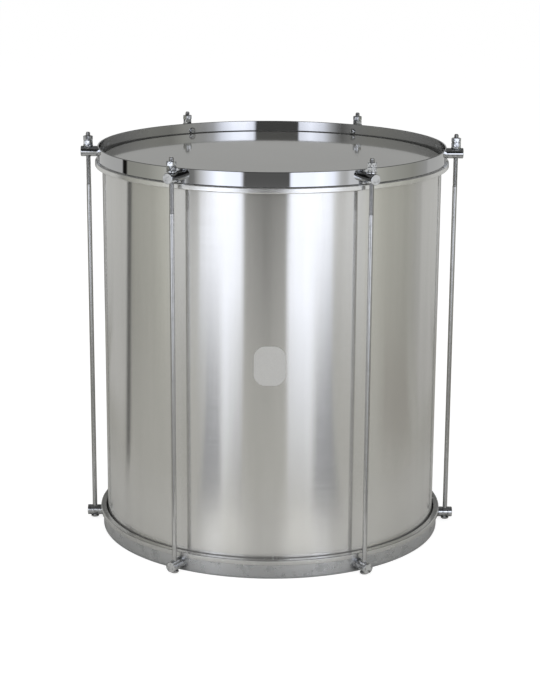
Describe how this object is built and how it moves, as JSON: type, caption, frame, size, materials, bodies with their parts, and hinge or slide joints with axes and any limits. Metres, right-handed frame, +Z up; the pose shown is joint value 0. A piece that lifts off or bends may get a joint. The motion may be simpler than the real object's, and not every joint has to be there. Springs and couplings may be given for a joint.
{
  "type": "surdo drum",
  "caption": "Large two-headed bass drum: aluminium shell, film heads, steel hoops and tension rods, each with stacked nuts.",
  "frame": {"origin": "centre of the lower counterhoop's rim, on the floor that the drum stands on", "axes": "+Z up along the drum's axis towards the head that is played, +X through lug 1 and its rod, the picture is taken from -Y"},
  "size_m": [0.5132, 0.4738, 0.5452],
  "materials": {
    "shell_aluminium": "polished, with a fine lengthwise grain",
    "ring_aluminium": "satin, lightly scuffed",
    "hoop_chrome": "bright chrome plate",
    "hoop_worn_chrome": "plate dulled by handling",
    "lug_chrome": "bright chrome plate on a turned barrel",
    "rod_steel": "plated steel rod, darker along its thread",
    "fastener_steel": "zinc plate",
    "head_film": "glossy grey film"
  },
  "bodies": {
    "drum": {"shell": "shell_aluminium", "top_head_film": "head_film", "bottom_head_film": "head_film", "bottom_flesh_hoop": "ring_aluminium", "bottom_counterhoop": "hoop_worn_chrome", "bottom_lug_1": "lug_chrome", "bottom_lug_2": "lug_chrome", "bottom_lug_3": "lug_chrome", "bottom_lug_4": "lug_chrome", "bottom_lug_5": "lug_chrome", "bottom_lug_6": "lug_chrome", "bottom_lug_screw_1": "fastener_steel", "bottom_lug_screw_2": "fastener_steel", "bottom_lug_screw_3": "fastener_steel", "bottom_lug_screw_4": "fastener_steel", "bottom_lug_screw_5": "fastener_steel", "bottom_lug_screw_6": "fastener_steel", "tension_rod_1": "rod_steel", "tension_rod_2": "rod_steel", "tension_rod_3": "rod_steel", "tension_rod_4": "rod_steel", "tension_rod_5": "rod_steel", "tension_rod_6": "rod_steel"},
    "top_hoop": {"top_counterhoop": "hoop_chrome", "top_flesh_hoop": "ring_aluminium", "top_lug_1": "lug_chrome", "top_lug_2": "lug_chrome", "top_lug_3": "lug_chrome", "top_lug_4": "lug_chrome", "top_lug_5": "lug_chrome", "top_lug_6": "lug_chrome", "top_lug_screw_1": "fastener_steel", "top_lug_screw_2": "fastener_steel", "top_lug_screw_3": "fastener_steel", "top_lug_screw_4": "fastener_steel", "top_lug_screw_5": "fastener_steel", "top_lug_screw_6": "fastener_steel", "washer_1": "fastener_steel", "washer_2": "fastener_steel", "washer_3": "fastener_steel", "washer_4": "fastener_steel", "washer_5": "fastener_steel", "washer_6": "fastener_steel"},
    "tension_nut_1": {"tension_nut_1": "fastener_steel"},
    "tension_nut_2": {"tension_nut_2": "fastener_steel"},
    "tension_nut_3": {"tension_nut_3": "fastener_steel"},
    "tension_nut_4": {"tension_nut_4": "fastener_steel"},
    "tension_nut_5": {"tension_nut_5": "fastener_steel"},
    "tension_nut_6": {"tension_nut_6": "fastener_steel"},
    "lock_nut_1": {"lock_nut_1": "fastener_steel"},
    "lock_nut_2": {"lock_nut_2": "fastener_steel"},
    "lock_nut_3": {"lock_nut_3": "fastener_steel"},
    "lock_nut_4": {"lock_nut_4": "fastener_steel"},
    "lock_nut_5": {"lock_nut_5": "fastener_steel"},
    "lock_nut_6": {"lock_nut_6": "fastener_steel"}
  },
  "joints": [
    {"name": "top_hoop_tuning", "type": "slide", "parent": "drum", "child": "top_hoop", "axis": [0, 0, 1], "range_m": [-0.00254, 0]},
    {"name": "tension_nut_1_turn", "type": "hinge", "parent": "top_hoop", "child": "tension_nut_1", "pos_m": [0.2468, 0, 0.531], "axis": [0, 0, 1], "range_deg": [-720, 0]},
    {"name": "tension_nut_2_turn", "type": "hinge", "parent": "top_hoop", "child": "tension_nut_2", "pos_m": [0.1234, 0.21374, 0.531], "axis": [0, 0, 1], "range_deg": [-720, 0]},
    {"name": "tension_nut_3_turn", "type": "hinge", "parent": "top_hoop", "child": "tension_nut_3", "pos_m": [-0.1234, 0.21374, 0.531], "axis": [0, 0, 1], "range_deg": [-720, 0]},
    {"name": "tension_nut_4_turn", "type": "hinge", "parent": "top_hoop", "child": "tension_nut_4", "pos_m": [-0.2468, 0, 0.531], "axis": [0, 0, 1], "range_deg": [-720, 0]},
    {"name": "tension_nut_5_turn", "type": "hinge", "parent": "top_hoop", "child": "tension_nut_5", "pos_m": [-0.1234, -0.21374, 0.531], "axis": [0, 0, 1], "range_deg": [-720, 0]},
    {"name": "tension_nut_6_turn", "type": "hinge", "parent": "top_hoop", "child": "tension_nut_6", "pos_m": [0.1234, -0.21374, 0.531], "axis": [0, 0, 1], "range_deg": [-720, 0]},
    {"name": "lock_nut_1_turn", "type": "hinge", "parent": "top_hoop", "child": "lock_nut_1", "pos_m": [0.2468, 0, 0.537], "axis": [0, 0, 1], "range_deg": [-720, 0]},
    {"name": "lock_nut_2_turn", "type": "hinge", "parent": "top_hoop", "child": "lock_nut_2", "pos_m": [0.1234, 0.21374, 0.537], "axis": [0, 0, 1], "range_deg": [-720, 0]},
    {"name": "lock_nut_3_turn", "type": "hinge", "parent": "top_hoop", "child": "lock_nut_3", "pos_m": [-0.1234, 0.21374, 0.537], "axis": [0, 0, 1], "range_deg": [-720, 0]},
    {"name": "lock_nut_4_turn", "type": "hinge", "parent": "top_hoop", "child": "lock_nut_4", "pos_m": [-0.2468, 0, 0.537], "axis": [0, 0, 1], "range_deg": [-720, 0]},
    {"name": "lock_nut_5_turn", "type": "hinge", "parent": "top_hoop", "child": "lock_nut_5", "pos_m": [-0.1234, -0.21374, 0.537], "axis": [0, 0, 1], "range_deg": [-720, 0]},
    {"name": "lock_nut_6_turn", "type": "hinge", "parent": "top_hoop", "child": "lock_nut_6", "pos_m": [0.1234, -0.21374, 0.537], "axis": [0, 0, 1], "range_deg": [-720, 0]}
  ],
  "couplings": [
    {"joint": "tension_nut_1_turn", "follows": "top_hoop_tuning", "rad_per_m": 4947.4},
    {"joint": "tension_nut_2_turn", "follows": "top_hoop_tuning", "rad_per_m": 4947.4},
    {"joint": "tension_nut_3_turn", "follows": "top_hoop_tuning", "rad_per_m": 4947.4},
    {"joint": "tension_nut_4_turn", "follows": "top_hoop_tuning", "rad_per_m": 4947.4},
    {"joint": "tension_nut_5_turn", "follows": "top_hoop_tuning", "rad_per_m": 4947.4},
    {"joint": "tension_nut_6_turn", "follows": "top_hoop_tuning", "rad_per_m": 4947.4},
    {"joint": "lock_nut_1_turn", "follows": "top_hoop_tuning", "rad_per_m": 4947.4},
    {"joint": "lock_nut_2_turn", "follows": "top_hoop_tuning", "rad_per_m": 4947.4},
    {"joint": "lock_nut_3_turn", "follows": "top_hoop_tuning", "rad_per_m": 4947.4},
    {"joint": "lock_nut_4_turn", "follows": "top_hoop_tuning", "rad_per_m": 4947.4},
    {"joint": "lock_nut_5_turn", "follows": "top_hoop_tuning", "rad_per_m": 4947.4},
    {"joint": "lock_nut_6_turn", "follows": "top_hoop_tuning", "rad_per_m": 4947.4}
  ]
}
